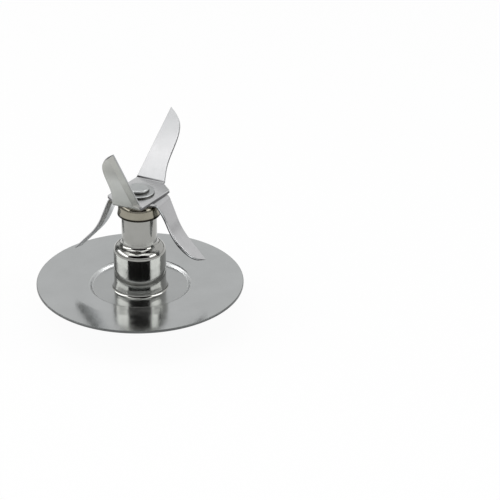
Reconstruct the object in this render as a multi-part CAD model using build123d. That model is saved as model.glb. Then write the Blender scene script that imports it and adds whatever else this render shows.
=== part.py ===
"""Blade unit of a countertop blender: flange, bearing hub, and a riveted stack of two crossed blades.

Millimetres, +Z up the spindle. The origin is on the spindle's axis, in the plane of the flange rim's
underside, where the jar's ring clamps the unit. +X lies along the upper blade, +Y along the lower one.
"""
import os
from math import atan2, cos, hypot, radians, sin

from build123d import *

# Flange: one stamped sheet, with a flat land round the rim, a shallow cone in two slopes and a dished centre
sheet = 0.8
rim_radius = 33.0
rim_edge_round = 0.2
land_width = 6.0
outer_cone_width = 4.4
outer_cone_fall = 0.42
inner_cone_fall = 0.43
cone_bend = 8.0
dish_radius = 16.1
dish_depth = 1.15
dish_wall_width = 0.8
dish_bend = 0.4

# Hub: a stepped and bored shell with a flared foot, swaged over the flange
shell = 0.8
body_radius = 8.3
body_height = 13.6
flare_width = 0.65
flare_height = 1.0
flare_round = 3.8
foot_turn = 1.6
tail_gap = 0.05
tail_round = 0.2
swage_width = 1.85
swage_round = 0.3
shoulder_round = 1.9
shoulder_drop = 1.0
neck_radius = 5.6
neck_height = 12.6
neck_round = 1.0

# Bearings, wick and seal inside the hub
running_gap = 0.04
seat_gap = 0.02
lower_bushing_height = 7.0
wick_top_gap = 0.8
wick_gap = 0.6
upper_bushing_height = 8.5
seal_height = 1.6
seal_stand = 0.2

# Spindle
shaft_radius = 3.0
shank_radius = 2.4
shank_flats = 3.8
shank_gap = 0.02
head_radius = 3.3
head_height = 1.25
head_round = 0.3
drive_collar_inset = 0.5
drive_collar_height = 2.0
drive_collar_round = 0.3
drive_square = 7.6
drive_bar_step = 0.8
drive_length = 8.6
drive_lead_in = 0.9

# Thrust washers
thrust_thickness = 0.9
thrust_gap = 0.2
lower_thrust_side_gap = 0.35
upper_thrust_radius = 4.6
upper_thrust_gap = 0.3

# Collar: a skirted cap that turns round the neck
collar_gap = 0.45
collar_skirt = 0.5
collar_top = 1.2
collar_height = 4.8
collar_round = 0.9
collar_lip = 0.4
collar_lip_height = 0.9
collar_lip_round = 1.5

# Washer under the spindle's peened head
rivet_washer_radius = 5.0
rivet_washer_thickness = 0.75
rivet_washer_round = 0.25

# Blades: u runs outward along an arm, v to the left of it
blade = 1.1
grind_width = 2.1
grind_land = 0.3
rear_fold = 9.6
front_fold = 8.6
upper_bend = 0.8
upper_lead_root = 5.7
upper_lead_tip = 3.4
upper_back_root = -3.8
upper_ear = (5.7, -7.9)
upper_arm_length = 25.9
upper_waist = (5.5, -2.6)
upper_belly = (13.6, -2.5)
upper_nose = (21.7, -0.9)
rear_arm_angle = 38.6
front_arm_angle = 60.8

lower_fold = 7.85
lower_bend = 1.2
lower_first_angle = 68.0
lower_second_angle = 47.6
lower_knee = 12.2
lower_knee_bend = 22.0
lower_reach = 12.4
lower_lead = 5.2
lower_back_root = -4.4
lower_ear = (4.6, -7.2)
lower_waist = (6.0, -1.3)
lower_belly = (14.5, -1.1)
lower_nose = (20.8, 0.7)

# Radii that follow from the sizes above
land_inner_radius = rim_radius - land_width
crease_radius = land_inner_radius - outer_cone_width
foot_radius = body_radius + flare_width
tail_radius = foot_radius - foot_turn
swage_radius = tail_radius + swage_width
neck_bore = neck_radius - shell
body_bore = body_radius - shell
tail_bore = tail_radius - shell
lower_thrust_radius = tail_bore - lower_thrust_side_gap
drive_collar_radius = lower_thrust_radius - drive_collar_inset
drive_bar_radius = drive_collar_radius - drive_bar_step
collar_bore = neck_radius + collar_gap
collar_radius = collar_bore + collar_skirt

# Heights that follow from the sizes above
rim_top = sheet
crease_top = rim_top - outer_cone_fall
dish_edge = crease_top - inner_cone_fall
dish_floor = dish_edge - dish_depth
flange_underside = dish_floor - sheet
swage_base = flange_underside - shell
body_base = dish_floor + flare_height
shoulder_edge = body_base + body_height
neck_base = shoulder_edge + shoulder_drop
neck_top = neck_base + neck_height
bushing_seat = dish_floor + shell
lower_bushing_top = bushing_seat + lower_bushing_height
wick_height = shoulder_edge - shell - wick_top_gap - lower_bushing_top
seal_top = neck_top + seal_stand
seal_base = seal_top - seal_height
upper_bushing_base = seal_base - upper_bushing_height
upper_thrust_base = seal_top + upper_thrust_gap
collar_plate_base = upper_thrust_base + thrust_thickness
lower_blade_base = collar_plate_base + collar_top
upper_blade_base = lower_blade_base + blade
washer_base = upper_blade_base + blade
head_base = washer_base + rivet_washer_thickness
lower_thrust_top = bushing_seat - thrust_gap
drive_collar_top = lower_thrust_top - thrust_thickness
drive_top = drive_collar_top - drive_collar_height
drive_end = drive_top - drive_length


def turned(outline, *radii):
    """Revolves a closed outline in (radius, height), with the listed corners rounded."""
    face = make_face(Polyline(*outline, close=True))
    for corner, radius in radii:
        vertex = face.vertices().sort_by_distance((*outline[corner], 0))[0]
        face = fillet(vertex, radius)
    return revolve(Plane.XZ * face, Axis.Z)


def ring(outer, inner, base, height):
    """A plain ring that stands on the height base."""
    return Pos(0, 0, base) * extrude(Circle(outer) - Circle(inner), height)


def bent_sheet(path, bends, thickness):
    """Section of a bent sheet: path is one surface, the other lies to its right, bends are inside radii."""
    points = [Vector(*point) for point in path]
    runs = [(end - start).normalized() for start, end in zip(points, points[1:])]
    rights = [Vector(run.Y, -run.X) for run in runs]
    far_side = [points[0] + rights[0] * thickness]
    near_radii, far_radii = [], []
    for corner, before, after, bend in zip(points[1:], rights, rights[1:], bends):
        far_side.append(corner + (before + after) * (thickness / (1 + before.dot(after))))
        turns_right = before.cross(after).Z < 0
        near_radii.append(bend + thickness if turns_right else bend)
        far_radii.append(bend if turns_right else bend + thickness)
    far_side.append(points[-1] + rights[-1] * thickness)
    near = FilletPolyline(*points, radius=near_radii)
    far = FilletPolyline(*far_side, radius=far_radii)
    return make_face([*near.edges(), Line(near @ 1, far @ 1), *far.edges(), Line(far @ 0, near @ 0)])


def double_d(gap=0.0):
    """The spindle shank's section: a circle with two flats."""
    return Circle(shank_radius + gap) & Rectangle(4 * shank_radius, shank_flats + 2 * gap)


def shank_hole(base, height):
    """The flatted hole that locks a piece to the spindle's shank."""
    return Pos(0, 0, base) * extrude(double_d(shank_gap), height)


def base_flange():
    """Rim land, two shallow cones and dished centre, pierced for the hub's tail."""
    path = [
        (tail_radius + tail_gap, dish_floor),
        (dish_radius - dish_wall_width, dish_floor),
        (dish_radius, dish_edge),
        (crease_radius, crease_top),
        (land_inner_radius, rim_top),
        (rim_radius, rim_top),
    ]
    section = bent_sheet(path, [dish_bend, dish_bend, cone_bend, cone_bend], sheet)
    disc = revolve(Plane.XZ * section, Axis.Z)
    rim = disc.edges().filter_by(GeomType.CIRCLE).filter_by(Plane.XY).group_by(SortBy.RADIUS)[-1]
    disc = fillet(rim.sort_by(Axis.Z)[-1], rim_edge_round)
    hole = disc.edges().filter_by(GeomType.CIRCLE).filter_by(Plane.XY).group_by(SortBy.RADIUS)[0]
    return chamfer(hole, tail_round + tail_gap)


def bearing_housing():
    """Neck, shoulder, body, flared foot, and the tail that goes through the flange and is swaged under it."""
    outline = [
        (neck_radius, neck_top),
        (neck_radius, neck_base),
        (body_radius, shoulder_edge),
        (body_radius, body_base),
        (foot_radius, dish_floor),
        (tail_radius, dish_floor),
        (tail_radius, flange_underside),
        (swage_radius, flange_underside),
        (swage_radius, swage_base),
        (tail_bore, swage_base),
        (tail_bore, bushing_seat),
        (body_bore, bushing_seat),
        (body_bore, shoulder_edge - shell),
        (neck_bore, neck_base - shell),
        (neck_bore, neck_top),
    ]
    steps = [(1, neck_round), (2, shoulder_round), (3, flare_round)]
    tail = [(5, tail_round), (6, tail_round), (8, swage_round)]
    return turned(outline, *steps, *tail)


def lower_bushing():
    """Fills the body's bore and stands on the hub's inward turn."""
    return ring(body_bore - seat_gap, shaft_radius + running_gap, bushing_seat, lower_bushing_height)


def oil_wick():
    """A felt ring that stands on the lower bushing, clear of the shaft and of the shoulder."""
    return ring(body_bore - seat_gap, shaft_radius + wick_gap, lower_bushing_top, wick_height)


def upper_bushing():
    """Pressed into the neck, below the seal."""
    return ring(neck_bore - seat_gap, shaft_radius + running_gap, upper_bushing_base, upper_bushing_height)


def shaft_seal():
    """A rubber ring in the neck's mouth, with an open groove round its lip."""
    outer = neck_bore - seat_gap
    lip = shaft_radius + running_gap
    wall = (outer - lip) / 3
    floor = seal_base + seal_height / 3
    outline = [
        (lip, seal_base),
        (outer, seal_base),
        (outer, seal_top),
        (outer - wall, seal_top),
        (outer - wall, floor),
        (lip + wall, floor),
        (lip + wall / 2, seal_top),
        (lip, seal_top),
    ]
    return turned(outline)


def drive_spindle():
    """Square drive end, thrust collar, shaft, flatted shank and peened head, turned from one bar."""
    bar = [
        (0, drive_end),
        (drive_bar_radius - drive_lead_in, drive_end),
        (drive_bar_radius, drive_end + drive_lead_in),
        (drive_bar_radius, drive_top),
        (drive_collar_radius, drive_top + drive_collar_round),
        (drive_collar_radius, drive_collar_top),
        (0, drive_collar_top),
    ]
    square = Rectangle(drive_square, drive_square)
    milled = Circle(2 * drive_collar_radius) - square
    drive = turned(bar) - Pos(0, 0, drive_end) * extrude(milled, drive_length)
    shaft_height = collar_plate_base - drive_collar_top
    shaft = Pos(0, 0, drive_collar_top) * extrude(Circle(shaft_radius), shaft_height)
    shank = Pos(0, 0, collar_plate_base) * extrude(double_d(), head_base - collar_plate_base)
    head = Pos(0, 0, head_base) * extrude(Circle(head_radius), head_height)
    head = fillet(head.edges().sort_by(Axis.Z)[-1], head_round)
    return drive + shaft + shank + head


def lower_thrust_washer():
    """Lies on the spindle's thrust collar and runs against the lower bushing."""
    return ring(lower_thrust_radius, shaft_radius + seat_gap, drive_collar_top, thrust_thickness)


def upper_thrust_washer():
    """Lies under the collar's plate, above the seal."""
    return ring(upper_thrust_radius, shaft_radius + seat_gap, upper_thrust_base, thrust_thickness)


def slinger_collar():
    """A turned cap whose skirt hangs round the neck and flares to a lip at its lower edge."""
    skirt_base = lower_blade_base - collar_height
    outline = [
        (0, collar_plate_base),
        (collar_bore, collar_plate_base),
        (collar_bore, skirt_base),
        (collar_radius + collar_lip, skirt_base),
        (collar_radius, skirt_base + collar_lip_height),
        (collar_radius, lower_blade_base),
        (0, lower_blade_base),
    ]
    cap = turned(outline, (4, collar_lip_round), (5, collar_round))
    return cap - shank_hole(collar_plate_base, collar_top)


def blade_plate(half, other_half, base):
    """The blade's flat middle: the corners of one half, then those of the other, half a turn round."""
    outline = [*half, *[(-u, -v) for u, v in other_half]]
    return Pos(0, 0, base) * extrude(make_face(Polyline(*outline, close=True)), blade)


def arm_outline(root, lead_root, lead_tip, back_root, back_points, length):
    """One arm's outline: a straight leading edge, and a back that waists, swells and rounds to the point."""
    tip = (length, lead_tip)
    lead = Line((root, lead_root), tip)
    back = Spline((root, back_root), *back_points, tip)
    return make_face([lead, back, Line(back @ 0, lead @ 0)])


def ground(arm, plane, lead_root, lead_tip, length):
    """Grinds the leading edge of a flat arm from below, down to a narrow land."""
    along = Vector(length, lead_tip - lead_root, 0).normalized()
    inward = Vector(along.Y, -along.X, 0)
    slope = Vector(inward.X * grind_width, inward.Y * grind_width, grind_land - blade)
    start = plane.from_local_coords(Vector(0, lead_root, -grind_land))
    local_normal = along.cross(slope)
    up = local_normal if local_normal.Z > 0 else -local_normal
    normal = plane.from_local_coords(up) - plane.origin
    return split(arm, bisect_by=Plane(start, z_dir=normal), keep=Keep.TOP)


def upper_arm(fold, rise):
    """Bends the plate's end up by rise degrees at the fold and carries the arm straight on from the bend."""
    top = upper_blade_base + blade
    angle = radians(rise)
    width = upper_lead_root - upper_back_root
    middle = (upper_lead_root + upper_back_root) / 2
    end_plane = Plane((fold, middle, top - blade / 2), x_dir=(0, 1, 0), z_dir=(1, 0, 0))
    bend_axis = Axis((fold, 0, top + upper_bend), (0, -1, 0))
    bend = revolve(end_plane * Rectangle(width, blade), bend_axis, rise)
    start = (fold + upper_bend * sin(angle), 0, top + upper_bend * (1 - cos(angle)))
    plane = Plane(start, x_dir=(cos(angle), 0, sin(angle)), z_dir=(-sin(angle), 0, cos(angle)))
    back = [upper_waist, upper_belly, upper_nose]
    outline = arm_outline(0, upper_lead_root, upper_lead_tip, upper_back_root, back, upper_arm_length)
    arm = extrude(plane * outline, -blade)
    return bend + ground(arm, plane, upper_lead_root, upper_lead_tip, upper_arm_length)


def upper_blade():
    """Flat eared middle, with the rear arm folded further out and raised less than the front one."""
    folds = (rear_fold, front_fold)
    halves = [[(fold, upper_lead_root), (fold, upper_back_root), upper_ear] for fold in folds]
    plate = blade_plate(*halves, upper_blade_base)
    rear = upper_arm(rear_fold, rear_arm_angle)
    front = Rot(0, 0, 180) * upper_arm(front_fold, front_arm_angle)
    blank = plate + rear + front
    return blank - shank_hole(upper_blade_base, blade)


def lower_arm():
    """A strip that follows the arm's side profile, ground thin from below along its leading edge.

    It is trimmed to the arm's outline, which is drawn square to the chord from the fold to the point.
    """
    top = lower_blade_base + blade
    first, second = radians(lower_first_angle), radians(lower_second_angle)
    knee = (lower_fold + lower_knee * cos(first), top - lower_knee * sin(first))
    tip = (knee[0] + lower_reach * cos(second), knee[1] - lower_reach * sin(second))
    overrun = blade
    past_tip = (tip[0] + overrun * cos(second), tip[1] - overrun * sin(second))
    profile = [(lower_ear[0], top), (lower_fold, top), knee, past_tip]
    bends = [lower_bend, lower_knee_bend]
    grind_start = lower_lead - grind_width
    full = Plane.XZ.offset(-grind_start) * bent_sheet(profile, bends, blade)
    edge = Plane.XZ.offset(-lower_lead) * bent_sheet(profile, bends, grind_land)
    half_width = abs(lower_ear[1]) + blade
    strip = extrude(full, grind_start + half_width, dir=(0, -1, 0)) + loft([full, edge], ruled=True)
    chord = atan2(top - tip[1], tip[0] - lower_fold)
    plane = Plane((lower_fold, 0, top), x_dir=(cos(chord), 0, -sin(chord)), z_dir=(sin(chord), 0, cos(chord)))
    length = hypot(tip[0] - lower_fold, top - tip[1])
    root = (lower_ear[0] - lower_fold) * cos(chord) - blade
    back = [lower_waist, lower_belly, lower_nose]
    outline = arm_outline(root, lower_lead, lower_lead, lower_back_root, back, length)
    trim = extrude(plane * outline, lower_knee, both=True)
    return strip & trim


def lower_blade():
    """Flat eared middle with both arms swept down alike, set a quarter turn from the upper blade."""
    corners = [(lower_ear[0], lower_lead), (lower_ear[0], lower_back_root), lower_ear]
    plate = blade_plate(corners, corners, lower_blade_base)
    blank = plate + lower_arm() + Rot(0, 0, 180) * lower_arm()
    return Rot(0, 0, 90) * blank - shank_hole(lower_blade_base, blade)


def rivet_washer():
    """A plain washer with a rounded upper edge, under the spindle's head."""
    disc = Pos(0, 0, washer_base) * extrude(Circle(rivet_washer_radius), rivet_washer_thickness)
    disc = fillet(disc.edges().sort_by(Axis.Z)[-1], rivet_washer_round)
    return disc - shank_hole(washer_base, rivet_washer_thickness)


pieces = [
    base_flange,
    bearing_housing,
    lower_bushing,
    oil_wick,
    upper_bushing,
    shaft_seal,
    drive_spindle,
    lower_thrust_washer,
    upper_thrust_washer,
    slinger_collar,
    lower_blade,
    upper_blade,
    rivet_washer,
]
os.makedirs("parts", exist_ok=True)
for piece in pieces:
    export_step(piece(), f"parts/{piece.__name__}.step")
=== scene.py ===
"""Looks of a blender's blade unit: polished flange and hub, bearings, spindle, collar and two crossed blades.

Metres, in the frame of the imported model. The sections follow the unit as it is put together, from the
flange up to the rivet washer, and end with the studio that it stands in.
"""

from math import atan2, cos, hypot, pi, radians, sin, tan

import bmesh
import bpy
import numpy as np
from mathutils import Matrix, Vector


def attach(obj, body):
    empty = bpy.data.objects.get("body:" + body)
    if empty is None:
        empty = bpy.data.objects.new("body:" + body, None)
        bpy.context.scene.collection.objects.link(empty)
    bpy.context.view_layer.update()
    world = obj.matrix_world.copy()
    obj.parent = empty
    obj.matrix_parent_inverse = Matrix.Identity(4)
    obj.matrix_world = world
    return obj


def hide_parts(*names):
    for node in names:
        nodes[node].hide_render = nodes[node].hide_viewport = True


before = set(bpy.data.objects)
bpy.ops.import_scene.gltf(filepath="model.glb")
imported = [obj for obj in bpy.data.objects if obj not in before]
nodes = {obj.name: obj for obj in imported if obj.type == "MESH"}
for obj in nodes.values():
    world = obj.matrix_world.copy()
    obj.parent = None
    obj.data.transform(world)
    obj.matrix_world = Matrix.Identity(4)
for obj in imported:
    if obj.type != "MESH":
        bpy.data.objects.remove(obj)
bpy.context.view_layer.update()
bpy.context.scene.view_settings.view_transform = "Standard"


# Flange
# One disc of 0.8 mm stainless sheet, pressed into a very flat cone with a dished middle and polished to a
# satin mirror. The hub's tail goes through its hole and is swaged over from below.
mm = 0.001
sheet = 0.8 * mm
flange_top_path = np.array([
    (7.4, -1.2), (15.3, -1.2), (16.1, -0.05), (22.6, 0.40), (27.0, 0.57), (32.97, 0.8)
]) * mm
flange_bends = np.array([0.6, 0.6, 8.0, 8.0]) * mm
flange_edges = np.array([0.2, 0.2, 0.1, 0.2]) * mm


def rounded_corners(points, radii, steps=8, hair=0.03 * mm):
    """The corners of a closed outline as arcs, one row of points for each corner.

    An arc of radius R in a corner that turns by a starts R tan(a / 2) before the corner and ends as far
    after it. A point a hair off each end of the arc keeps the straight runs between arcs flat when shaded.
    """
    ahead = np.roll(points, -1, axis=0) - points
    ahead = ahead / np.linalg.norm(ahead, axis=1, keepdims=True)
    behind = np.roll(ahead, 1, axis=0)
    turn = np.arctan2(behind[:, 0] * ahead[:, 1] - behind[:, 1] * ahead[:, 0], (behind * ahead).sum(axis=1))
    start = points - behind * (radii * np.tan(np.abs(turn) / 2))[:, None]
    inward = np.stack([-behind[:, 1], behind[:, 0]], axis=1) * np.sign(turn)[:, None]
    sweep = (np.abs(turn)[:, None] * np.linspace(0, 1, steps + 1))[..., None]
    bow = np.sin(sweep) * behind[:, None] + (1 - np.cos(sweep)) * inward[:, None]
    arcs = start[:, None] + radii[:, None, None] * bow
    before = start[:, None] - behind[:, None] * hair
    after = arcs[:, -1:] + ahead[:, None] * hair
    return np.concatenate([before, arcs, after], axis=1)


def sheet_outline(path, bends, edges, thickness):
    """Closed section of a bent sheet: path is one face, and the other lies one thickness to its right.

    In a bend the far face's corner is the path's corner moved along both runs' normals, and the outside of
    a bend has the inside radius plus the thickness.
    """
    runs = np.diff(path, axis=0)
    runs = runs / np.linalg.norm(runs, axis=1, keepdims=True)
    rights = np.stack([runs[:, 1], -runs[:, 0]], axis=1)
    before, after = rights[:-1], rights[1:]
    mitre = (before + after) / (1 + (before * after).sum(axis=1, keepdims=True))
    far = path + np.concatenate([rights[:1], mitre, rights[-1:]]) * thickness
    turns_right = before[:, 0] * after[:, 1] - before[:, 1] * after[:, 0] < 0
    near_radii = bends + np.where(turns_right, thickness, 0)
    far_radii = bends + np.where(turns_right, 0, thickness)
    radii = np.concatenate([edges[:1], near_radii, edges[1:3], far_radii[::-1], edges[3:]])
    return rounded_corners(np.concatenate([path, far[::-1]]), radii).reshape(-1, 2)


def spun(outline, steps):
    """The outline (radius, height) carried once round the Z axis in equal steps.

    A point at angle a is x = radius cos a, y = radius sin a, z = height. An outline that runs clockwise is
    turned round first, so that the faces point outwards.
    """
    radius, height = outline.T
    area = (radius * np.roll(height, -1) - np.roll(radius, -1) * height).sum()
    if area < 0:
        radius, height = outline[::-1].T
    angle = np.linspace(0, 2 * pi, steps, endpoint=False)[:, None]
    return np.stack([radius * np.cos(angle), radius * np.sin(angle), height + 0 * angle], axis=-1)


def grid_faces(rows, columns, closed):
    """Quads between neighbours on a grid. Its columns close on themselves, and so do its rows if closed."""
    row = np.arange(rows if closed else rows - 1)[:, None] * columns
    next_row = (row + columns) % (rows * columns)
    column = np.arange(columns)
    next_column = (column + 1) % columns
    corners = [row + column, next_row + column, next_row + next_column, row + next_column]
    return np.stack(corners, axis=-1).reshape(-1, 4)


def metal_piece(name, points, faces, material):
    """A smooth-shaded mesh object with edges of more than 35 degrees left sharp."""
    mesh = bpy.data.meshes.new(name)
    mesh.from_pydata(points.reshape(-1, 3).tolist(), [], faces)
    mesh.shade_smooth()
    mesh.set_sharp_from_angle(angle=radians(35))
    mesh.materials.append(material)
    piece = bpy.data.objects.new(name, mesh)
    bpy.context.scene.collection.objects.link(piece)
    return piece


def spun_piece(name, outline, steps, material):
    """A ring-shaped piece: its closed outline carried once round the Z axis."""
    grid = spun(outline, steps)
    return metal_piece(name, grid, grid_faces(*grid.shape[:2], True).tolist(), material)


def wire(tree, kind, inputs, **settings):
    """Adds a node, sets its options, and fills its inputs: sockets are linked and other values are set."""
    node = tree.nodes.new(kind)
    for name, value in settings.items():
        setattr(node, name, value)
    for name, value in inputs.items():
        if isinstance(value, bpy.types.NodeSocket):
            tree.links.new(value, node.inputs[name])
        else:
            node.inputs[name].default_value = value
    return node


def bare_finish(name, metallic, colour, roughness):
    """A new principled material: returns it with its node tree, its shader and its object coordinates."""
    material = bpy.data.materials.new(name)
    material.use_nodes = True
    tree = material.node_tree
    shader = tree.nodes["Principled BSDF"]
    shader.inputs["Metallic"].default_value = metallic
    shader.inputs["Base Color"].default_value = (*colour, 1)
    shader.inputs["Roughness"].default_value = roughness
    place = wire(tree, "ShaderNodeTexCoord", {}).outputs["Object"]
    return material, tree, shader, place


def axis_reach(tree, place):
    """A point's distance from the Z axis: the length of its place with the height left out."""
    flat = wire(tree, "ShaderNodeVectorMath", {0: place, 1: (1, 1, 0)}, operation="MULTIPLY").outputs[0]
    return wire(tree, "ShaderNodeVectorMath", {0: flat}, operation="LENGTH").outputs["Value"]


def height_of(tree, place):
    """A point's height along the Z axis."""
    return wire(tree, "ShaderNodeSeparateXYZ", {0: place}).outputs["Z"]


def times(tree, first, second):
    """The product of two numbers."""
    return wire(tree, "ShaderNodeMath", {0: first, 1: second}, operation="MULTIPLY").outputs[0]


def round_grain(tree, place, around, across, along):
    """Coordinates for marks that run round the axis: direction times around, then radius and height scaled.

    The direction is the point's unit vector from the axis, so the pattern closes on itself with no seam.
    """
    flat = wire(tree, "ShaderNodeVectorMath", {0: place, 1: (1, 1, 0)}, operation="MULTIPLY").outputs[0]
    unit = wire(tree, "ShaderNodeVectorMath", {0: flat}, operation="NORMALIZE").outputs[0]
    turned = wire(tree, "ShaderNodeVectorMath", {0: unit, "Scale": around}, operation="SCALE").outputs[0]
    inputs = {0: height_of(tree, place), 1: along, 2: times(tree, axis_reach(tree, place), across)}
    level = wire(tree, "ShaderNodeMath", inputs, operation="MULTIPLY_ADD").outputs[0]
    lift = wire(tree, "ShaderNodeCombineXYZ", {"Z": level}).outputs[0]
    return wire(tree, "ShaderNodeVectorMath", {0: turned, 1: lift}, operation="ADD").outputs[0]


def noise(tree, vector, scale, detail=2.0):
    """Fractal noise on the given coordinates, from 0 to 1."""
    inputs = {"Vector": vector, "Scale": scale, "Detail": detail}
    return wire(tree, "ShaderNodeTexNoise", inputs).outputs["Fac"]


def spread(tree, value, low, high, start=0.3, end=0.7):
    """Maps start to end onto low to high, in a straight line and held at both ends."""
    inputs = {"Value": value, "From Min": start, "From Max": end, "To Min": low, "To Max": high}
    return wire(tree, "ShaderNodeMapRange", inputs).outputs["Result"]


def blend(tree, fac, first, second, mode="MIX"):
    """The first colour where fac is 0. Where fac is 1 it is the second, or their product in MULTIPLY mode."""
    inputs = {"Factor": fac, 6: first, 7: second}
    return wire(tree, "ShaderNodeMix", inputs, data_type="RGBA", blend_type=mode).outputs[2]


def tint(tree, fac, dark, light):
    """A colour between two fixed ones: dark where fac is 0 and light where it is 1."""
    return blend(tree, fac, (*dark, 1), (*light, 1))


def between(tree, fac, first, second):
    """The first number where fac is 0, the second where it is 1, and a straight line between them."""
    return wire(tree, "ShaderNodeMix", {"Factor": fac, 2: first, 3: second}, data_type="FLOAT").outputs[0]


def relief(tree, heights):
    """Stacks bumps, each a height pattern with its depth in metres, and returns the last normal."""
    normal = None
    for height, depth in heights:
        inputs = {"Height": height, "Distance": depth, "Strength": 1.0}
        if normal:
            inputs["Normal"] = normal
        normal = wire(tree, "ShaderNodeBump", inputs).outputs["Normal"]
    return normal


flange_steel, tree, shader, place = bare_finish("flange_steel", 1.0, (0.37, 0.38, 0.377), 0.12)
smear = noise(tree, place, 90.0, 3.0)
polish = noise(tree, round_grain(tree, place, 6.0, 2600.0, 2600.0), 1.0, 3.0)
press_wave = noise(tree, place, 70.0, 1.0)
stain = noise(tree, place, 260.0, 4.0)
reach = axis_reach(tree, place)
in_dish = spread(tree, reach, 1, 0, 14.9 * mm, 15.3 * mm)
from_floor = spread(tree, reach, 0, 1, 15.1 * mm, 15.4 * mm)
to_land = spread(tree, reach, 1, 0, 16.0 * mm, 16.4 * mm)
on_wall = times(tree, from_floor, to_land)
on_rim = spread(tree, reach, 0, 1, 32.74 * mm, 32.86 * mm)
open_face = tint(tree, spread(tree, smear, 0, 1), (0.366, 0.376, 0.375), (0.393, 0.404, 0.404))
shaded_dish_face = tint(tree, spread(tree, smear, 0, 1), (0.338, 0.347, 0.345), (0.356, 0.366, 0.364))
# The dish floor is painted a shade darker than the open face: painted shade that dims the hub mirrored in it.
colour = blend(tree, in_dish, open_face, shaded_dish_face)
# The dish wall is painted lighter than the rest of the sheet: a painted highlight.
colour = blend(tree, on_wall, colour, (0.5, 0.51, 0.51, 1))
# The rim's edge is painted near black: painted shade in place of the light that its edge would catch.
colour = blend(tree, on_rim, colour, (0.13, 0.135, 0.135, 1))
tree.links.new(colour, shader.inputs["Base Color"])
gloss = between(tree, in_dish, spread(tree, stain, 0.13, 0.19), spread(tree, stain, 0.19, 0.25))
tree.links.new(between(tree, on_wall, gloss, 0.34), shader.inputs["Roughness"])
near_hub = spread(tree, reach, 1, 0, 18 * mm, 24 * mm)
dents = times(tree, noise(tree, place, 300.0, 1.0), near_hub)
ripple = times(tree, noise(tree, round_grain(tree, place, 1.5, 700.0, 0.0), 1.0, 1.0), near_hub)
waves = [(press_wave, 0.010 * mm), (dents, 0.03 * mm), (ripple, 0.012 * mm), (polish, 0.0006 * mm)]
tree.links.new(relief(tree, waves), shader.inputs["Normal"])
flange_outline = sheet_outline(flange_top_path, flange_bends, flange_edges, sheet)
flange = spun_piece("pressed_flange", flange_outline, steps=320, material=flange_steel)
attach(flange, "base")
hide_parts("base_flange")


# Hub
# A cup deep-drawn from 0.8 mm stainless in steps: neck, rounded shoulder, body, flared foot. It stands in the
# flange's dish on a rolled toe, and its tail is swaged under the flange. All of it is polished bright.
hub_outline = np.array([
    (5.6, 27.0), (5.6, 14.4), (8.3, 13.4), (8.3, 1.1), (8.535, -0.85), (8.95, -1.2), (7.35, -1.2),
    (7.35, -2.0), (9.2, -2.0), (9.2, -2.8), (6.55, -2.8), (6.55, -0.4), (7.5, -0.4), (7.5, 12.6),
    (4.8, 13.6), (4.8, 27.0)
]) * mm
hub_rounds = np.array([
    0.15, 1.6, 2.5, 8.0, 1.45, 0.04, 0.2, 0.2, 0.1, 0.3, 0.1, 0.1, 0.1, 1.0, 1.0, 0.1
]) * mm

hub_steel, tree, shader, place = bare_finish("hub_steel", 1.0, (0.325, 0.325, 0.315), 0.06)
draw_lines = noise(tree, round_grain(tree, place, 24.0, 0.0, 60.0), 1.0, 3.0)
cloud = noise(tree, place, 300.0, 3.0)
colour = tint(tree, spread(tree, cloud, 0, 1), (0.312, 0.312, 0.295), (0.342, 0.342, 0.326))
tree.links.new(colour, shader.inputs["Base Color"])
tree.links.new(spread(tree, draw_lines, 0.08, 0.13), shader.inputs["Roughness"])
tree.links.new(relief(tree, [(cloud, 0.002 * mm), (draw_lines, 0.0015 * mm)]), shader.inputs["Normal"])
hub_line = rounded_corners(hub_outline, hub_rounds, steps=12).reshape(-1, 2)
hub = spun_piece("drawn_hub", hub_line, steps=224, material=hub_steel)
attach(hub, "base")
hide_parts("bearing_housing")


# Bearings
# Two bushings and two thrust washers of sintered bronze, full of oil: open-grained, brown and a little shiny.
# The bushings are pressed into the hub, and the washers lie loose on the spindle.


def dress(name, material):
    """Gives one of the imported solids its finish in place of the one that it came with."""
    nodes[name].data.materials.clear()
    nodes[name].data.materials.append(material)


bearing_bronze, tree, shader, place = bare_finish("bearing_bronze", 1.0, (0.48, 0.31, 0.16), 0.38)
pores = noise(tree, place, 5200.0, 2.0)
oil = noise(tree, place, 420.0, 3.0)
colour = tint(tree, spread(tree, oil, 0, 1), (0.40, 0.25, 0.12), (0.54, 0.36, 0.20))
tree.links.new(colour, shader.inputs["Base Color"])
tree.links.new(spread(tree, oil, 0.28, 0.46), shader.inputs["Roughness"])
tree.links.new(relief(tree, [(spread(tree, pores, 0, 1, 0.35, 0.5), 0.008 * mm)]), shader.inputs["Normal"])
for name in ["lower_bushing", "upper_bushing", "lower_thrust_washer", "upper_thrust_washer"]:
    dress(name, bearing_bronze)


# Oil wick
# A ring punched from pressed wool felt, soaked with oil, that stands on the lower bushing and feeds both.
# It is straw-coloured with a matted fibre face.
wick_felt, tree, shader, place = bare_finish("wick_felt", 0.0, (0.5, 0.44, 0.33), 0.9)
fibres = noise(tree, place, 2600.0, 5.0)
patches = noise(tree, place, 500.0, 2.0)
colour = tint(tree, spread(tree, patches, 0, 1), (0.42, 0.36, 0.26), (0.56, 0.50, 0.39))
tree.links.new(colour, shader.inputs["Base Color"])
tree.links.new(spread(tree, fibres, 0.8, 1.0), shader.inputs["Roughness"])
tree.links.new(relief(tree, [(fibres, 0.06 * mm)]), shader.inputs["Normal"])
shader.inputs["Sheen Weight"].default_value = 0.3
dress("oil_wick", wick_felt)


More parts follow.
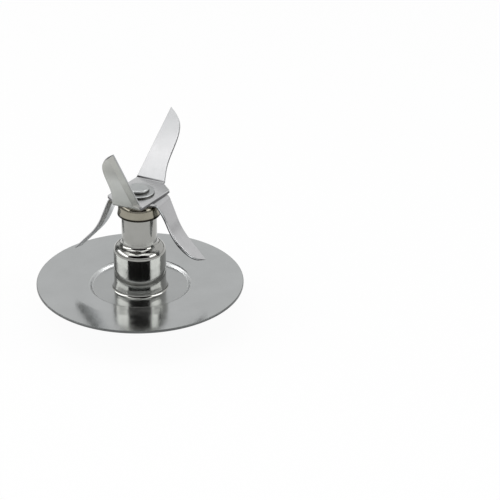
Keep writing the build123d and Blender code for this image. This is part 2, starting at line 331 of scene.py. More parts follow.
# Shaft seal
# A black nitrile ring moulded with an open groove round its lip, pushed into the neck's mouth.
# It is matt, with a faint bloom.
seal_rubber, tree, shader, place = bare_finish("seal_rubber", 0.0, (0.03, 0.03, 0.03), 0.6)
skin = noise(tree, place, 1800.0, 3.0)
bloom = noise(tree, place, 350.0, 2.0)
colour = tint(tree, spread(tree, bloom, 0, 1), (0.022, 0.022, 0.023), (0.045, 0.045, 0.046))
tree.links.new(colour, shader.inputs["Base Color"])
tree.links.new(spread(tree, bloom, 0.5, 0.68), shader.inputs["Roughness"])
tree.links.new(relief(tree, [(skin, 0.01 * mm)]), shader.inputs["Normal"])
dress("shaft_seal", seal_rubber)


# Spindle
# Turned from one stainless bar: a milled square end for the motor's socket, a thrust collar, the shaft, a
# thinner shank for the stack, and a head that is peened over the washer with a spinning tool. The lower
# part of the head's wall and of the washer's wall is painted dark as painted shade.
spindle_outline = np.array([
    (0, -12.1), (4.0, -12.1), (4.9, -11.2), (4.9, -3.5), (5.7, -3.2), (5.7, -1.5), (3.0, -1.5), (3.0, 28.4),
    (2.4, 28.4), (2.4, 32.55), (3.3, 32.55), (3.3, 33.8), (0, 33.8)
]) * mm
spindle_rounds = np.array([0.1, 0.1, 0.1, 0.05, 0.1, 0.15, 0.1, 0.1, 0.05, 0.05, 0.05, 0.65, 0.1]) * mm
drive_half = 3.8 * mm
drive_bar = 4.9 * mm
drive_top = -3.5 * mm


def spun_with_square(outline, rounds, half, bar, top):
    """A turned bar with four flats milled below the height top, closed by a point at each end of the axis.

    Its radius at angle a is the outline's, or half / max(|cos a|, |sin a|) below top where that is less.
    The angles are set close on both sides of the eight edges where a flat runs out into the bar.
    """
    line = rounded_corners(outline, rounds, steps=6)[1:-1].reshape(-1, 2)
    edge = np.arccos(half / bar)
    quarter = np.concatenate([np.linspace(-edge, edge, 25), np.linspace(edge, pi / 2 - edge, 8)[1:-1]])
    angle = (quarter[:, None] + np.arange(4) * pi / 2).T.reshape(-1, 1)
    flat = half / np.maximum(np.abs(np.cos(angle)), np.abs(np.sin(angle)))
    radius = np.where(line[:, 1] < top + 1e-6, np.minimum(line[:, 0], flat), line[:, 0])
    rings = np.stack([radius * np.cos(angle), radius * np.sin(angle), line[:, 1] + 0 * angle], axis=-1)
    rows, columns = rings.shape[:2]
    quads = grid_faces(rows, columns, True).reshape(rows, columns, 4)[:, :-1].reshape(-1, 4)
    first = np.arange(rows) * columns
    after = np.roll(first, -1)
    foot, head = rows * columns, rows * columns + 1
    below = np.stack([after, first, first * 0 + foot], axis=1)
    above = np.stack([first, after, first * 0 + head], axis=1) + np.array([columns - 1, columns - 1, 0])
    points = np.concatenate([rings.reshape(-1, 3), [[0, 0, outline[0, 1]], [0, 0, outline[-1, 1]]]])
    return points, quads.tolist() + below.tolist() + above.tolist()


spindle_steel, tree, shader, place = bare_finish("spindle_steel", 1.0, (0.42, 0.43, 0.44), 0.25)
tool_marks = noise(tree, round_grain(tree, place, 3.0, 3200.0, 3200.0), 1.0, 2.0)
cloud = noise(tree, place, 500.0, 3.0)
reach = axis_reach(tree, place)
level = height_of(tree, place)
head_wall = spread(tree, reach, 0, 1, 3.15 * mm, 3.28 * mm)
washer_top = spread(tree, reach, 1, 0, 3.32 * mm, 3.5 * mm)
washer_wall = spread(tree, reach, 0, 1, 4.85 * mm, 4.98 * mm)
low_head = spread(tree, level, 1, 0, 33.05 * mm, 33.25 * mm)
low_washer = spread(tree, level, 1, 0, 32.2 * mm, 32.35 * mm)
# The lower part of the head's wall and of the washer's wall is painted dark: painted shade.
ring = times(tree, times(tree, head_wall, washer_top), low_head)
rim = times(tree, washer_wall, low_washer)
rings = wire(tree, "ShaderNodeMath", {0: ring, 1: rim}, operation="MAXIMUM").outputs[0]
stack = spread(tree, level, 0, 1, 31.5 * mm, 31.7 * mm)
painted_foot_shade = times(tree, rings, stack)
steel_tone = tint(tree, spread(tree, cloud, 0, 1), (0.395, 0.408, 0.408), (0.435, 0.448, 0.448))
tree.links.new(blend(tree, painted_foot_shade, steel_tone, (0.09, 0.09, 0.085, 1)), shader.inputs["Base Color"])
gloss = between(tree, stack, spread(tree, tool_marks, 0.2, 0.34), spread(tree, tool_marks, 0.36, 0.48))
tree.links.new(gloss, shader.inputs["Roughness"])
tree.links.new(relief(tree, [(cloud, 0.006 * mm), (tool_marks, 0.004 * mm)]), shader.inputs["Normal"])
spindle_points, spindle_faces = spun_with_square(
    spindle_outline, spindle_rounds, drive_half, drive_bar, drive_top
)
spindle = metal_piece("turned_spindle", spindle_points, spindle_faces, spindle_steel)
edit = bmesh.new()
edit.from_mesh(spindle.data)
bmesh.ops.dissolve_degenerate(edit, dist=1e-7, edges=edit.edges)
edit.to_mesh(spindle.data)
edit.free()
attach(spindle, "rotor")
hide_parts("drive_spindle")


# Collar
# A turned cap under the blades, plated dull nickel with a warm cast, that throws liquid off the neck.
# Its top edge is well rounded and painted darker as painted shade under the blades, and its skirt flares to a
# lower edge that is painted near black as painted shade in the gap over the neck.
shank_hole = 2.42
collar_outline = np.array([
    (shank_hole, 28.4), (6.05, 28.4), (6.05, 24.6), (6.86, 24.6), (6.55, 26.4), (6.55, 29.6),
    (shank_hole, 29.6)
]) * mm
collar_rounds = np.array([0.05, 0.3, 0.08, 0.2, 5.0, 2.5, 0.05]) * mm

collar_nickel, tree, shader, place = bare_finish("collar_nickel", 1.0, (0.29, 0.272, 0.222), 0.15)
tool_marks = noise(tree, round_grain(tree, place, 2.0, 2400.0, 2400.0), 1.0, 2.0)
cloud = noise(tree, place, 420.0, 3.0)
level = height_of(tree, place)
painted_gap_shade = spread(tree, level, 1, 0, 25.25 * mm, 25.4 * mm)
painted_blade_shade = spread(tree, level, 0, 1, 27.8 * mm, 28.0 * mm)
plated = tint(tree, spread(tree, cloud, 0, 1), (0.27, 0.254, 0.206), (0.31, 0.292, 0.240))
# The lip's lower edge is painted near black: painted shade in the gap over the neck.
colour = blend(tree, painted_gap_shade, plated, (0.02, 0.019, 0.015, 1))
# The top is painted darker: painted shade under the blades.
tree.links.new(blend(tree, painted_blade_shade, colour, (0.15, 0.14, 0.115, 1)), shader.inputs["Base Color"])
tree.links.new(spread(tree, tool_marks, 0.11, 0.18), shader.inputs["Roughness"])
tree.links.new(relief(tree, [(cloud, 0.003 * mm), (tool_marks, 0.002 * mm)]), shader.inputs["Normal"])
collar_line = rounded_corners(collar_outline, collar_rounds, steps=10).reshape(-1, 2)
collar = spun_piece("slinger_cap", collar_line, steps=192, material=collar_nickel)
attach(collar, "rotor")
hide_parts("slinger_collar")


# Lower blade
# Blanked from 1.1 mm stainless and pierced for the shank, folded down over a soft bend at both ends, with a
# long gentle curve half way down each arm. Each arm's leading edge is ground from below to a narrow land.
blade = 1.1 * mm
grind_width = 2.1 * mm
grind_land = 0.3 * mm
blade_edge = 0.08 * mm
grind_start = 0.2 * mm
grind_run_in = 1.2 * mm
lower_top = 30.7 * mm
lower_fold = 7.85 * mm
lower_bend = 2.3 * mm
lower_first = radians(68.0)
lower_second = radians(47.6)
lower_knee = 12.2 * mm
lower_knee_bend = 22.0 * mm
lower_reach = 12.4 * mm
lower_lead = 5.2 * mm
lower_plate = 4.6 * mm
lower_plate_lead = 6.2 * mm
lower_ear = 7.2 * mm
lower_burnish = 0.5
tip_left = 0.12 * mm
lower_back = np.array([(-2.84, -4.4), (6.0, -1.3), (14.5, -1.1), (20.8, 0.7)]) * mm


def folded_line(lengths, headings, start, samples):
    """Side view of a folded strip: its heading changes in a straight line between the given lengths.

    The place at a length is the start plus the summed steps of (cos heading, sin heading). Returns the
    places and the normals (-sin heading, cos heading) at the samples.
    """
    fine = np.linspace(0, lengths[-1], 20001)
    heading = np.interp(fine, lengths, headings)
    middle = (heading[1:] + heading[:-1]) / 2
    steps = np.stack([np.cos(middle), np.sin(middle)], axis=1) * np.diff(fine)[:, None]
    places = start + np.concatenate([[[0, 0]], np.cumsum(steps, axis=0)])
    at = np.stack([np.interp(samples, fine, places[:, k]) for k in range(2)], axis=1)
    turned = np.interp(samples, lengths, headings)
    return at, np.stack([-np.sin(turned), np.cos(turned)], axis=1)


def smooth_line(points, count):
    """A natural cubic spline through the points, with the summed distance between them as its parameter.

    The second derivatives m solve h0 m0 + 2 (h0 + h1) m1 + h1 m2 = 6 (slope1 - slope0), and are zero at
    both ends.
    """
    gaps = np.linalg.norm(np.diff(points, axis=0), axis=1)
    knots = np.concatenate([[0], np.cumsum(gaps)])
    size = len(points)
    system = np.eye(size)
    inner = np.arange(1, size - 1)
    system[inner, inner - 1] = gaps[:-1]
    system[inner, inner] = 2 * (gaps[:-1] + gaps[1:])
    system[inner, inner + 1] = gaps[1:]
    slopes = np.diff(points, axis=0) / gaps[:, None]
    sides = np.zeros_like(points)
    sides[1:-1] = 6 * np.diff(slopes, axis=0)
    bend = np.linalg.solve(system, sides)
    at = np.linspace(0, knots[-1], count)
    span = np.clip(np.searchsorted(knots, at, side="right") - 1, 0, size - 2)
    gap = gaps[span][:, None]
    left = (knots[span + 1] - at)[:, None]
    right = (at - knots[span])[:, None]
    near = (points[span] / gap - bend[span] * gap / 6) * left
    far = (points[span + 1] / gap - bend[span + 1] * gap / 6) * right
    return near + far + (bend[span] * left ** 3 + bend[span + 1] * right ** 3) / (6 * gap)


def ground_section(lead, back, grind, burnish):
    """Section of a blade across its length, as distances to the left of the arm and depths below its top.

    A side is a small round, a wall down to the edge's depth, and a slope to the underside. On the leading
    side the slope widens from the small round to the whole grind as grind goes from 0 to 1. Where the blade
    is narrower than the grind, the slope stops at the back and the blade is thinner there. Marks are 1 on
    the ground slope, and on the rough part of each wall below its burnished share, which the finish paints
    near black: partly the dull shear and partly painted shade. The columns of a side are the top, four on
    the round, four on the wall, four on the slope, and the underside.
    """
    arc = np.radians([0, 30, 60, 90])
    lead, back, grind = lead[:, None], back[:, None], grind[:, None]
    width = lead - back
    land = blade - blade_edge + grind * (grind_land - blade + blade_edge)
    slope = blade_edge + grind * (grind_width - blade_edge)
    reach = np.minimum(slope, width - 3 * blade_edge)
    floor = land + (blade - land) * reach / slope
    wall = np.array([0.15, burnish, burnish + 0.1, 0.9])
    run = np.array([0.02, 0.06, 0.94, 1.0])
    none = 0 * lead
    top_in = 2 * blade_edge + none
    round_in = blade_edge * (1 - np.sin(arc)) + none
    round_down = blade_edge * (1 - np.cos(arc)) + none
    lead_wall = blade_edge + (land - blade_edge) * wall
    lead_slope = land + (floor - land) * run
    lead_in = np.concatenate([top_in, round_in, none * wall, reach * run, reach + 0.5 * blade_edge], axis=1)
    lead_down = np.concatenate([none, round_down, lead_wall, lead_slope, floor], axis=1)
    back_run = np.minimum(blade_edge, 0.3 * floor)
    back_land = floor - back_run
    back_wall = blade_edge + (back_land - blade_edge) * wall
    back_slope = back_land + back_run * run
    back_in = np.concatenate([top_in, round_in, none * wall, back_run * run, 1.5 * back_run], axis=1)
    back_down = np.concatenate([none, round_down, back_wall, back_slope, floor], axis=1)
    left = np.concatenate([lead - lead_in, (back + back_in)[:, ::-1]], axis=1)
    depth = np.concatenate([lead_down, back_down[:, ::-1]], axis=1)
    column = np.arange(left.shape[1])
    slope_mark = ((column > 8) & (column < 13)) * grind
    rough_back = (column > 16) & (column < 21)
    rough_lead = ((column > 6) & (column < 11)) * (1 - grind)
    return left, depth, np.stack([slope_mark, rough_back + rough_lead, 0 * left], axis=-1)


def half_blade(lengths, headings, start, samples, limits, burnish):
    """One half of a blade from its middle to its point, as a grid of places with its grain and marks.

    A place is the side view's point less its normal times the depth, set off by the distance to the left.
    """
    at, normal = folded_line(lengths, headings, start, samples)
    lead, back, grind = limits(at, samples)
    left, depth, marks = ground_section(lead, back, grind, burnish)
    out = at[:, :1] - normal[:, :1] * depth
    up = at[:, 1:] - normal[:, 1:] * depth
    grain = np.stack([samples[:, None] + 0 * left, left, depth], axis=-1)
    return np.stack([out, left, up], axis=-1), grain, marks


def whole_blade(name, first, second, turn, material):
    """Joins two halves at the middle, the second one turned half round, closes both points and turns it all.

    The second half's section is read from its other end, because half a turn swaps its two sides. A point
    turned by an angle t goes to (x cos t - y sin t, x sin t + y cos t).
    """
    half = np.array([-1, -1, 1])
    columns = first[0].shape[1]
    swap = np.arange(columns)[::-1]
    grid = np.concatenate([(second[0] * half)[:0:-1, swap], first[0]])
    grain = np.concatenate([(second[1] * half)[:0:-1, swap], first[1]])
    marks = np.concatenate([second[2][:0:-1, swap], first[2]])
    rows = len(grid)
    column = np.arange(columns)
    after = (column + 1) % columns
    last = (rows - 1) * columns
    start_cap = np.stack([column * 0 + rows * columns, column, after], axis=1)
    end_cap = np.stack([column * 0 + rows * columns + 1, last + after, last + column], axis=1)
    faces = grid_faces(rows, columns, False).tolist() + start_cap.tolist() + end_cap.tolist()
    ends = [0, -1]
    points = np.concatenate([grid.reshape(-1, 3), grid[ends].mean(axis=1)])
    points = points @ np.array([(cos(turn), sin(turn), 0), (-sin(turn), cos(turn), 0), (0, 0, 1)])
    piece = metal_piece(name, points, faces, material)
    lay = piece.data.attributes.new("grain", "FLOAT_VECTOR", "POINT")
    lay.data.foreach_set("vector", np.concatenate([grain.reshape(-1, 3), grain[ends].mean(axis=1)]).ravel())
    values = np.concatenate([marks.reshape(-1, 3), marks[ends].mean(axis=1)])
    for column, mark in enumerate(["ground", "shear_and_shade", "crease"]):
        piece.data.attributes.new(mark, "FLOAT", "POINT").data.foreach_set("value", values[:, column].copy())
    return piece


def drill(piece, radius, middle, depth):
    """Cuts a round hole along the Z axis through a piece, and keeps the cut mesh in place of the modifier."""
    edit = bmesh.new()
    place = Matrix.Translation((0, 0, middle))
    bmesh.ops.create_cone(
        edit, cap_ends=True, segments=96, radius1=radius, radius2=radius, depth=depth, matrix=place
    )
    bit_mesh = bpy.data.meshes.new("drill_bit")
    edit.to_mesh(bit_mesh)
    edit.free()
    bit = bpy.data.objects.new("drill_bit", bit_mesh)
    bpy.context.scene.collection.objects.link(bit)
    cut = piece.modifiers.new("cut", "BOOLEAN")
    cut.object = bit
    cut.operation = "DIFFERENCE"
    cut.solver = "MANIFOLD"
    whole = piece.data
    piece.data = bpy.data.meshes.new_from_object(piece.evaluated_get(bpy.context.evaluated_depsgraph_get()))
    piece.modifiers.clear()
    bpy.data.objects.remove(bit)
    bpy.data.meshes.remove(bit_mesh)
    bpy.data.meshes.remove(whole)


def arm_samples(stops, tip, close):
    """Lengths along an arm: even steps, close pairs beside each stop, and finer steps towards the tip."""
    even = np.arange(0, tip, 0.35 * mm)
    beside = (np.array(stops)[:, None] + np.array([-0.15, -0.03, 0, 0.03, 0.15]) * mm).ravel()
    fine = tip - close - np.linspace(0, 1, 40) ** 2 * 5 * mm
    samples = np.unique(np.concatenate([even, beside, fine]).round(7))
    return samples[samples <= tip - close + 1e-9]


blade_steel, tree, shader, place = bare_finish("blade_steel", 1.0, (0.46, 0.46, 0.46), 0.22)
grain = wire(tree, "ShaderNodeAttribute", {}, attribute_name="grain").outputs["Vector"]
ground = wire(tree, "ShaderNodeAttribute", {}, attribute_name="ground").outputs["Fac"]
shear_and_shade = wire(tree, "ShaderNodeAttribute", {}, attribute_name="shear_and_shade").outputs["Fac"]
crease = wire(tree, "ShaderNodeAttribute", {}, attribute_name="crease").outputs["Fac"]
inputs = {0: grain, 1: (160, 2600, 2600)}
lengthwise = wire(tree, "ShaderNodeVectorMath", inputs, operation="MULTIPLY").outputs[0]
inputs = {0: grain, 1: (3600, 300, 300)}
crosswise = wire(tree, "ShaderNodeVectorMath", inputs, operation="MULTIPLY").outputs[0]
parts = wire(tree, "ShaderNodeSeparateXYZ", {0: grain})
along = wire(tree, "ShaderNodeMath", {0: parts.outputs["X"]}, operation="ABSOLUTE").outputs[0]
below = spread(tree, parts.outputs["Z"], 0, 1, 0.3 * mm, 0.5 * mm)
raised = spread(tree, height_of(tree, place), 0, 1, 29.4 * mm, 30.6 * mm)
rolled = noise(tree, lengthwise, 1.0, 3.0)
wheel = noise(tree, crosswise, 1.0, 3.0)
cloud = noise(tree, place, 240.0, 3.0)
texture = between(tree, ground, rolled, wheel)
# The undersides are painted much lighter than the top faces, as painted light, and duller on the raised
# parts, as painted shade.
upside = tint(tree, spread(tree, cloud, 0, 1), (0.45, 0.45, 0.455), (0.48, 0.48, 0.487))
shaded_high_underside = tint(tree, spread(tree, cloud, 0, 1), (0.69, 0.69, 0.66), (0.74, 0.74, 0.71))
lit_low_underside = tint(tree, spread(tree, cloud, 0, 1), (0.86, 0.87, 0.88), (0.91, 0.92, 0.93))
face_colour = blend(tree, below, upside, blend(tree, raised, lit_low_underside, shaded_high_underside))
# On the raised parts the colour is darker towards the tips and near the middle.
top_tip_fade = spread(tree, along, 0, 1, 21 * mm, 33 * mm)
under_tip_fade = spread(tree, along, 0, 1, 22.5 * mm, 27 * mm)
tip_fade = between(tree, below, top_tip_fade, under_tip_fade)
root_fade = spread(tree, along, 0.6, 0, 10 * mm, 18 * mm)
arm_fade = wire(tree, "ShaderNodeMath", {0: tip_fade, 1: root_fade}, operation="MAXIMUM").outputs[0]
fade_tone = tint(tree, below, (0.80, 0.81, 0.81), (0.71, 0.71, 0.70))
colour = blend(tree, times(tree, arm_fade, raised), face_colour, fade_tone, "MULTIPLY")
# On the upper blade the ground strip is darker, less so towards the tips.
ground_strip_dimming = times(tree, times(tree, ground, raised), spread(tree, along, 1, 0.15, 21 * mm, 29 * mm))
colour = blend(tree, ground_strip_dimming, colour, (0.54, 0.54, 0.53, 1), "MULTIPLY")
# The rough lower part of the sheared walls is painted near black: partly the dull shear itself and partly
# painted shade in the gaps under the blades' edges.
colour = blend(tree, shear_and_shade, colour, (0.10, 0.10, 0.105, 1))
# In the folds of the upper blade: a painted highlight, then a dark line of painted shade.
colour = blend(tree, spread(tree, crease, 0, 1, 0, -1), colour, (0.8, 0.81, 0.81, 1))
colour = blend(tree, spread(tree, crease, 0, 1, 0, 1), colour, (0.025, 0.025, 0.027, 1))
tree.links.new(colour, shader.inputs["Base Color"])
hazed = wire(tree, "ShaderNodeMath", {0: raised, 1: ground}, operation="LESS_THAN").outputs[0]
gloss = between(tree, hazed, spread(tree, texture, 0.18, 0.27), spread(tree, texture, 0.36, 0.45))
tree.links.new(gloss, shader.inputs["Roughness"])
tree.links.new(relief(tree, [(cloud, 0.003 * mm), (texture, 0.002 * mm)]), shader.inputs["Normal"])

fold_reach = lower_bend * tan(lower_first / 2)
knee_reach = lower_knee_bend * tan((lower_first - lower_second) / 2)
lower_steps = [
    lower_fold - fold_reach, lower_bend * lower_first, lower_knee - fold_reach - knee_reach,
    lower_knee_bend * (lower_first - lower_second), lower_reach - knee_reach
]
lower_lengths = np.concatenate([[0], np.cumsum(lower_steps)])
lower_headings = np.array([0, 0, -lower_first, -lower_first, -lower_second, -lower_second])
drop = lower_knee * sin(lower_first) + lower_reach * sin(lower_second)
out = lower_knee * cos(lower_first) + lower_reach * cos(lower_second)
lower_chord = hypot(drop, out)
lower_slant = atan2(drop, out)
lower_curve = smooth_line(np.concatenate([lower_back, [(lower_chord, lower_lead)]]), 800)


def lower_limits(at, samples):
    """Leading and back edges of a lower arm: the eared plate near the middle, then the arm's own outline.

    The outline is drawn square to the chord from fold to point, so it is read at the place's distance
    along that chord.
    """
    along = (at[:, 0] - lower_fold) * cos(lower_slant) + (lower_top - at[:, 1]) * sin(lower_slant)
    arm_back = np.interp(along, lower_curve[:, 0], lower_curve[:, 1])
    share = np.clip(samples / lower_plate, 0, 1)
    plate_lead = lower_plate_lead + (lower_lead - lower_plate_lead) * share
    plate_back = -lower_plate_lead - (lower_ear - lower_plate_lead) * share
    on_plate = samples <= lower_plate + 1e-7
    lead = np.where(on_plate, plate_lead, lower_lead)
    back = np.where(on_plate, plate_back, arm_back)
    grind = np.clip((samples - lower_plate - grind_start) / grind_run_in, 0, 1)
    return lead, back, grind


lower_stops = [lower_plate, lower_lengths[1], lower_lengths[2]]
lower_samples = arm_samples(lower_stops, lower_lengths[-1], tip_left)
lower_start = (0, lower_top)
lower_half = half_blade(
    lower_lengths, lower_headings, lower_start, lower_samples, lower_limits, lower_burnish
)
lower_blade = whole_blade("lower_blade_folded", lower_half, lower_half, radians(90), blade_steel)
drill(lower_blade, shank_hole * mm, lower_top - blade / 2, 3 * blade)
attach(lower_blade, "rotor")
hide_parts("lower_blade")


# Upper blade
# The same strip, laid across the lower blade, with both arms folded sharply up, one steeper than the other.
# Each arm has a straight ground leading edge and a back that waists and swells. Two ears stick out at the
# folds. Along the inside of each fold runs a dark line of painted shade, with a painted highlight beside it.
upper_top = 31.8 * mm
upper_bend = 1.2 * mm
rear_fold = 9.6 * mm
rear_rise = radians(38.6)
front_fold = 8.6 * mm
front_rise = radians(60.8)
upper_arm = 25.9 * mm
upper_lead_root = 5.7 * mm
upper_lead_tip = 3.4 * mm
upper_ear_out = 5.7 * mm
upper_ear_side = 7.9 * mm
upper_burnish = 0.25
upper_back = np.array([(0, -3.8), (5.5, -2.6), (13.6, -2.5), (21.7, -0.9), (25.9, 3.4)]) * mm
upper_curve = smooth_line(upper_back, 800)
rear_slope = (upper_ear_side - upper_lead_root) / (upper_ear_out + rear_fold)
front_slope = (upper_ear_side - upper_lead_root) / (upper_ear_out + front_fold)


def raised_half(fold, rise, slope, other_slope):
    """A half of the upper blade: the plate to its fold, a tight bend up by rise, and the straight arm.

    The plate's leading edge runs straight from the other half's ear to the fold, with the given slope, and
    its back runs on the other half's slope to the ear and then straight to the fold. The crease mark is 1
    on the painted shade along the inside of the fold and less than 0 on the painted highlight beside it, by
    distance from the bend's end in millimetres and by column of the section, and is 0 on the underside.
    """
    lengths = np.cumsum([0, fold, upper_bend * rise, upper_arm])
    headings = np.array([0, 0, rise, rise])
    lead_middle = upper_ear_side - slope * upper_ear_out
    back_middle = upper_ear_side - other_slope * upper_ear_out

    def limits(at, samples):
        """Edges of the eared plate up to the fold, and of the arm's outline by distance past the bend."""
        past = samples - lengths[2]
        plate_lead = np.interp(samples, [0, fold], [lead_middle, upper_lead_root])
        back_sides = [-back_middle, -upper_ear_side, upper_back[0, 1]]
        plate_back = np.interp(samples, [0, upper_ear_out, fold], back_sides)
        arm_lead = upper_lead_root + (upper_lead_tip - upper_lead_root) * past / upper_arm
        arm_back = np.interp(past, upper_curve[:, 0], upper_curve[:, 1])
        lead = np.where(past > 0, arm_lead, plate_lead)
        back = np.where(past > 0, arm_back, plate_back)
        return lead, back, np.clip(past / grind_run_in, 0, 1)

    samples = arm_samples([upper_ear_out, lengths[1], lengths[2]], lengths[-1], tip_left)
    bend = np.linspace(lengths[1], lengths[2], 9)
    samples = np.unique(np.concatenate([samples, bend]).round(7))
    grid, grain, marks = half_blade(lengths, headings, (0, upper_top), samples, limits, upper_burnish)
    past = (samples - lengths[2])[:, None] / mm
    column = np.arange(grid.shape[1])
    # Along the inside of the fold the top is painted dark as painted shade, with a painted highlight beside
    # it on the plate side.
    crease_shade = np.interp(past, [-0.72, -0.6, 0.05, 0.15], [0, 1, 1, 0])
    crease_shade = crease_shade * np.interp(column, [4, 5, 22, 23], [1, 0, 0, 0.2])
    crease_highlight = np.interp(past, [-9, -1.3, -0.75, -0.6], [0.2, 0.35, 1, 0])
    crease_highlight = crease_highlight * np.interp(column, [4, 5, 22, 23], [0.6, 0, 0, 1])
    marks[..., 2] = crease_shade - crease_highlight
    return grid, grain, marks


rear_half = raised_half(rear_fold, rear_rise, rear_slope, front_slope)
front_half = raised_half(front_fold, front_rise, front_slope, rear_slope)
upper_blade = whole_blade("upper_blade_folded", rear_half, front_half, 0, blade_steel)
drill(upper_blade, shank_hole * mm, upper_top - blade / 2, 3 * blade)
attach(upper_blade, "rotor")
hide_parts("upper_blade")


# Rivet washer
# A plain turned washer with its upper edge rounded, clamped between the upper blade and the spindle's head.
# It has the spindle's finish.
washer_outline = np.array([(shank_hole, 31.8), (5.0, 31.8), (5.0, 32.55), (shank_hole, 32.55)]) * mm
washer_rounds = np.array([0.05, 0.06, 0.38, 0.05]) * mm
washer_line = rounded_corners(washer_outline, washer_rounds).reshape(-1, 2)
washer = spun_piece("rivet_ring", washer_line, steps=160, material=spindle_steel)
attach(washer, "rotor")
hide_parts("rivet_washer")


# Studio
# A white table and white surroundings, as for a catalogue picture of polished metal. What the metal mirrors
# is shaped by a domed dark screen on the camera's side, a dim flag above the back, a low wall all round that
# is dim but for a paler stretch at the right, a soft box at each side, one overhead and a strip in front.
camera_turn = radians(-66.3)
camera_height = radians(27.70)
camera_roll = radians(0.532)
camera_distance = 0.64254
camera_aim = Vector((0.03493, 0, 0.011876))
focal_pixels = 2029
image_pixels = 500
sensor = 36
floor_height = -12.15 * mm
studio_turn = Matrix.Rotation(camera_turn, 4, "Z")


def pale_to_view(tree, plain, pale):
    """Mixes two shaders: pale where a camera, glossy or transmission ray looks, plain for all other light."""
    path = wire(tree, "ShaderNodeLightPath", {})
    inputs = {0: path.outputs["Is Camera Ray"], 1: path.outputs["Is Glossy Ray"]}
    seen = wire(tree, "ShaderNodeMath", inputs, operation="MAXIMUM").outputs[0]
    inputs = {0: seen, 1: path.outputs["Is Transmission Ray"]}
    seen = wire(tree, "ShaderNodeMath", inputs, operation="MAXIMUM").outputs[0]
    return wire(tree, "ShaderNodeMixShader", {0: seen, 1: plain, 2: pale}).outputs[0]


world = bpy.data.worlds.new("studio_white")
world.use_nodes = True
bpy.context.scene.world = world
tree = world.node_tree
tree.nodes.clear()
dim = wire(tree, "ShaderNodeBackground", {"Color": (1, 1, 1, 1), "Strength": 0.5}).outputs[0]
white = wire(tree, "ShaderNodeBackground", {"Color": (1, 1, 1, 1), "Strength": 1.0}).outputs[0]
wire(tree, "ShaderNodeOutputWorld", {"Surface": pale_to_view(tree, dim, white)})

table_white = bpy.data.materials.new("table_white")
table_white.use_nodes = True
tree = table_white.node_tree
tree.nodes.clear()
matt = wire(tree, "ShaderNodeBsdfDiffuse", {"Color": (0.9, 0.9, 0.9, 1)}).outputs[0]
glow = wire(tree, "ShaderNodeEmission", {"Color": (1, 1, 1, 1), "Strength": 1.0}).outputs[0]
glow_share = 0.94
lit = wire(tree, "ShaderNodeMixShader", {0: glow_share, 1: matt, 2: glow}).outputs[0]
wire(tree, "ShaderNodeOutputMaterial", {"Surface": pale_to_view(tree, matt, lit)})
table_mesh = bpy.data.meshes.new("table")
table_half = 3.0
table_corners = np.array([(-1, -1, 0), (1, -1, 0), (1, 1, 0), (-1, 1, 0)]) * table_half + (0, 0, floor_height)
table_mesh.from_pydata(table_corners.tolist(), [], [(0, 1, 2, 3)])
table_mesh.materials.append(table_white)
table = bpy.data.objects.new("table", table_mesh)
bpy.context.scene.collection.objects.link(table)


def dark_card(name, points, faces, strength):
    """A dim card that only mirrors show: no camera, shadow or diffuse ray meets it."""
    material = bpy.data.materials.new(name)
    material.use_nodes = True
    tree = material.node_tree
    tree.nodes.clear()
    shade = wire(tree, "ShaderNodeEmission", {"Color": (1, 1, 1, 1), "Strength": strength}).outputs[0]
    wire(tree, "ShaderNodeOutputMaterial", {"Surface": shade})
    mesh = bpy.data.meshes.new(name)
    mesh.from_pydata(points.tolist(), [], faces.tolist())
    mesh.materials.append(material)
    card = bpy.data.objects.new(name, mesh)
    bpy.context.scene.collection.objects.link(card)
    card.visible_camera = False
    card.visible_diffuse = False
    card.visible_shadow = False


def curved_card(name, degrees, radius, foot, top, strength):
    """A dim card on a circle round the Z axis, between two heights: x = r cos a, y = r sin a at each angle a.

    The angles are counted from the camera's right, and the heights are numbers or one number for each angle.
    """
    angle = np.radians(degrees) + camera_turn
    edge = np.stack([radius * np.cos(angle), radius * np.sin(angle)], axis=1)
    rows = [np.column_stack([edge, height + 0 * angle]) for height in (foot, top)]
    count = len(angle)
    left = np.arange(count - 1)
    faces = np.stack([left, left + 1, left + count + 1, left + count], axis=1)
    dark_card(name, np.concatenate(rows), faces, strength)


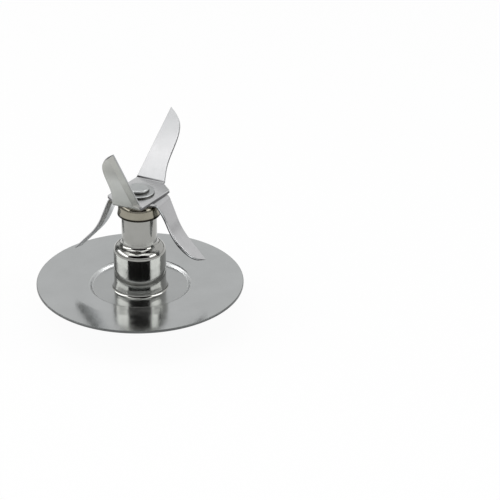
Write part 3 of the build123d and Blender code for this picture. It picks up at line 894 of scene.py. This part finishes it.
screen_radius = 0.8
screen_middle = -91
screen_half = 51
screen_low = 20
screen_side = 30
screen_dome = 36
screen_share = np.sin(np.linspace(-pi / 2, pi / 2, 41))
screen_foot = screen_radius * tan(radians(screen_low))
screen_rise = screen_side + screen_dome * np.sqrt(1 - screen_share ** 2)
screen_top = screen_radius * np.tan(np.radians(screen_rise))
screen_span = screen_middle + screen_half * screen_share
curved_card("dark_screen", screen_span, screen_radius, screen_foot, screen_top, strength=0.005)
flag_corners = np.array([
    (0.27, 0.22, 0.75), (0.27, 0.45, 0.75), (-0.12, 0.45, 0.75), (-0.75, 1.05, 0.75), (-0.75, 0.22, 0.75)
])
flag_points = flag_corners @ np.array(studio_turn)[:3, :3].T
dark_card("dark_flag", flag_points, np.array([[0, 1, 2, 3, 4]]), strength=0.12)
wall_radius = 1.4
wall_foot = floor_height + mm
wall_top = 0.2
pale_start = 10
pale_end = 52
dim_span = np.linspace(pale_end, pale_start + 360, 97)
pale_span = np.linspace(pale_start, pale_end, 15)
curved_card("far_wall", dim_span, wall_radius, wall_foot, wall_top, strength=0.22)
curved_card("right_wall", pale_span, wall_radius, wall_foot, wall_top, strength=0.72)


def soft_box(name, place, aim, width, height, radiance):
    """An area lamp turned to its aim. The power for its radiance is pi times its area times the radiance."""
    lamp = bpy.data.lights.new(name, "AREA")
    lamp.shape = "RECTANGLE"
    lamp.size = width
    lamp.size_y = height
    lamp.energy = pi * width * height * radiance
    box = bpy.data.objects.new(name, lamp)
    bpy.context.scene.collection.objects.link(box)
    box.location = studio_turn @ Vector(place)
    box.rotation_mode = "QUATERNION"
    box.rotation_quaternion = (studio_turn @ Vector(aim) - box.location).to_track_quat("-Z", "Y")
    box.visible_camera = False


soft_box("soft_box_left", (-0.599, -0.037, 0.36), (0, 0, 0.36), width=0.825, height=0.21, radiance=3.8)
soft_box("soft_box_right", (0.585, -0.135, 0.36), (0, 0, 0.36), width=0.611, height=0.21, radiance=3.8)
soft_box("soft_box_over", (-0.2, -0.15, 0.7), (-0.2, -0.15, 0), width=0.8, height=0.7, radiance=0.7)
soft_box("soft_box_front", (0, -0.2, 0.7), (0, 0, 0), width=0.9, height=0.13, radiance=2.0)

camera_data = bpy.data.cameras.new("camera")
camera_data.sensor_width = sensor
camera_data.lens = focal_pixels / image_pixels * sensor
camera = bpy.data.objects.new("camera", camera_data)
bpy.context.scene.collection.objects.link(camera)
away = studio_turn @ Vector((0, -cos(camera_height), sin(camera_height)))
camera.rotation_mode = "QUATERNION"
roll = Matrix.Rotation(camera_roll, 4, "Z").to_quaternion()
camera.rotation_quaternion = (-away).to_track_quat("-Z", "Y") @ roll
camera.location = studio_turn @ camera_aim + away * camera_distance
bpy.context.scene.camera = camera
